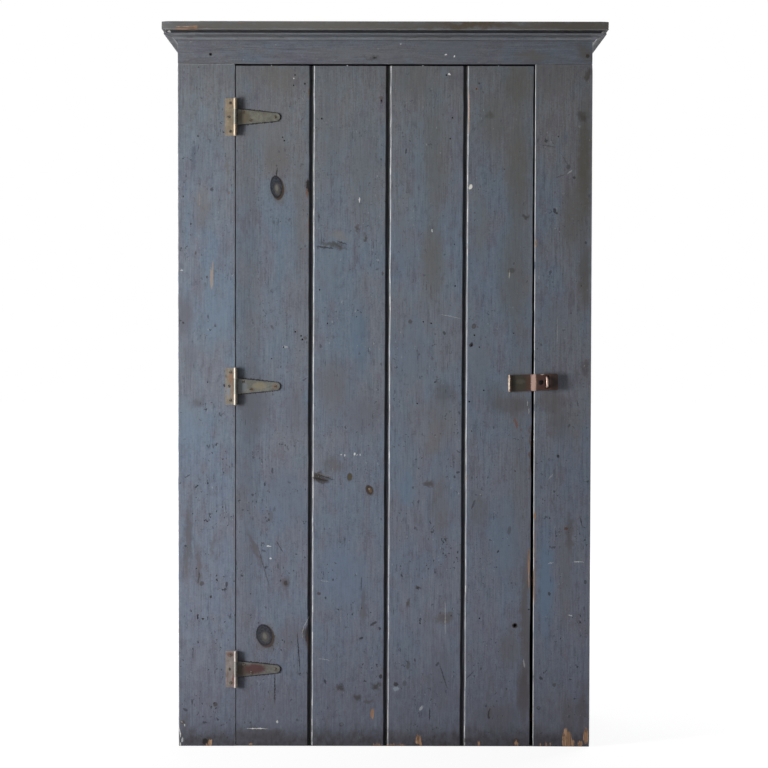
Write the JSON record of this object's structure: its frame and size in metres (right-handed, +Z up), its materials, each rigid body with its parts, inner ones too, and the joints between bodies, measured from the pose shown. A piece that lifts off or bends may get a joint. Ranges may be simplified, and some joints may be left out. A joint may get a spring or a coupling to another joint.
{
  "type": "single-door cupboard",
  "caption": "Tall painted pine cupboard with a ledged door of V-jointed boards on T hinges, a hasp and staple, a moulded top and shelves inside.",
  "frame": {"origin": "on the floor, under the middle of the whole object's box", "axes": "+Z up, front towards -Y, +X to the right as seen from the front"},
  "size_m": [1.021, 0.433, 1.672],
  "materials": {
    "painted_wood": "worn blue-grey satin paint over pine",
    "aged_pine": "bare pine, darkened with age",
    "hinge_steel": "dull rusty steel with remnants of paint",
    "hasp_iron": "brown rusty iron",
    "screw_steel": "dull rusty steel"
  },
  "bodies": {
    "cabinet": {"top_board": "painted_wood", "header_rail": "painted_wood", "cornice_front": "painted_wood", "cornice_left": "painted_wood", "cornice_right": "painted_wood", "stile_left": "painted_wood", "stile_right": "painted_wood", "side_left": "painted_wood", "side_right": "painted_wood", "bottom_board": "aged_pine", "shelf_1": "aged_pine", "shelf_2": "aged_pine", "shelf_3": "aged_pine", "shelf_4": "aged_pine", "back_board_1": "aged_pine", "back_board_2": "aged_pine", "back_board_3": "aged_pine", "back_board_4": "aged_pine", "back_board_5": "aged_pine", "hinge_top_leaf": "hinge_steel", "hinge_top_pin": "hinge_steel", "hinge_top_leaf_screw_upper": "screw_steel", "hinge_top_leaf_screw_centre": "screw_steel", "hinge_top_leaf_screw_lower": "screw_steel", "hinge_middle_leaf": "hinge_steel", "hinge_middle_pin": "hinge_steel", "hinge_middle_leaf_screw_upper": "screw_steel", "hinge_middle_leaf_screw_centre": "screw_steel", "hinge_middle_leaf_screw_lower": "screw_steel", "hinge_bottom_leaf": "hinge_steel", "hinge_bottom_pin": "hinge_steel", "hinge_bottom_leaf_screw_upper": "screw_steel", "hinge_bottom_leaf_screw_centre": "screw_steel", "hinge_bottom_leaf_screw_lower": "screw_steel", "staple": "hasp_iron"},
    "door": {"door_board_1": "painted_wood", "door_board_2": "painted_wood", "door_board_3": "painted_wood", "door_board_4": "painted_wood", "batten_top": "painted_wood", "batten_middle": "painted_wood", "batten_bottom": "painted_wood", "hinge_top_strap": "hinge_steel", "hinge_top_strap_screw_upper": "screw_steel", "hinge_top_strap_screw_lower": "screw_steel", "hinge_top_strap_screw_tip": "screw_steel", "hinge_middle_strap": "hinge_steel", "hinge_middle_strap_screw_upper": "screw_steel", "hinge_middle_strap_screw_lower": "screw_steel", "hinge_middle_strap_screw_tip": "screw_steel", "hinge_bottom_strap": "hinge_steel", "hinge_bottom_strap_screw_upper": "screw_steel", "hinge_bottom_strap_screw_lower": "screw_steel", "hinge_bottom_strap_screw_tip": "screw_steel", "hasp_leaf": "hasp_iron", "hasp_pin": "hasp_iron", "hasp_leaf_screw_lower": "screw_steel", "hasp_leaf_screw_upper": "screw_steel"},
    "hasp_flap": {"hasp_flap": "hasp_iron"}
  },
  "joints": [
    {"name": "door_hinge", "type": "hinge", "parent": "cabinet", "child": "door", "pos_m": [-0.3437, -0.1883, 0], "axis": [0, 0, -1], "range_deg": [0, 175]},
    {"name": "hasp_hinge", "type": "hinge", "parent": "door", "child": "hasp_flap", "pos_m": [0.2899, -0.188, 0.8455], "axis": [0.0419, 0, -0.9991], "range_deg": [0, 170]}
  ]
}
